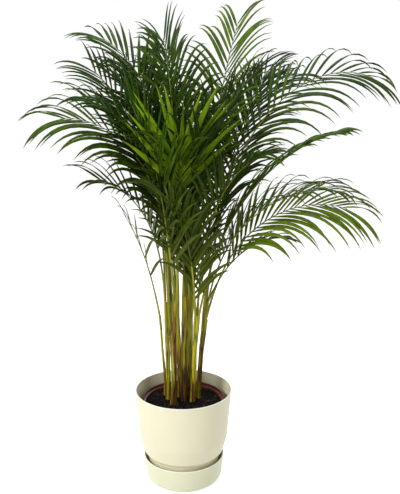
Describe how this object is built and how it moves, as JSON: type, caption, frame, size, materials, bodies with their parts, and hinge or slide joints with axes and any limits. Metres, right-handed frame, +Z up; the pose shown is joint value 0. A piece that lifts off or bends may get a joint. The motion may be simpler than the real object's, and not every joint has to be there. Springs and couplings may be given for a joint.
{
  "type": "potted palm",
  "caption": "Bushy feather palm with slender upright canes and arching fronds, in a grow pot inside a round tapered cover pot on a deep saucer; stands on the floor",
  "frame": {"origin": "on the pots' common axis at the saucer's flat underside", "axes": "+Z up along the pots' axis, +X to the side where the tallest arching frond reaches out, +Y towards the back"},
  "size_m": [1.1192, 0.9022, 1.4759],
  "materials": {
    "cover_pot_plastic": "satin",
    "saucer_plastic": "satin",
    "grow_pot_plastic": "satin",
    "soil": "matte",
    "cane": "satin",
    "leaf": "satin",
    "young_leaf": "satin"
  },
  "bodies": {
    "root": {"cover_pot": "cover_pot_plastic", "saucer": "saucer_plastic", "grow_pot": "grow_pot_plastic", "soil": "soil", "cane_a": "cane", "cane_b": "cane", "cane_c": "cane", "cane_d": "cane", "cane_e": "cane", "cane_f": "cane", "cane_g": "cane", "cane_h": "cane", "cane_i": "cane", "cane_j": "cane", "cane_k": "cane", "frond_01": "leaf", "frond_02": "leaf", "frond_03": "leaf", "frond_04": "leaf", "frond_05": "leaf", "frond_06": "leaf", "frond_07": "leaf", "frond_08": "leaf", "frond_09": "young_leaf", "frond_10": "leaf", "frond_11": "leaf", "frond_12": "leaf", "frond_13": "leaf", "frond_14": "leaf", "frond_15": "leaf", "frond_16": "leaf", "frond_17": "leaf", "frond_18": "young_leaf", "frond_19": "leaf", "frond_20": "leaf", "frond_21": "leaf", "frond_22": "leaf", "frond_23": "leaf", "frond_24": "leaf", "frond_25": "leaf", "frond_26": "leaf", "frond_27": "leaf", "frond_28": "leaf"}
  },
  "joints": []
}
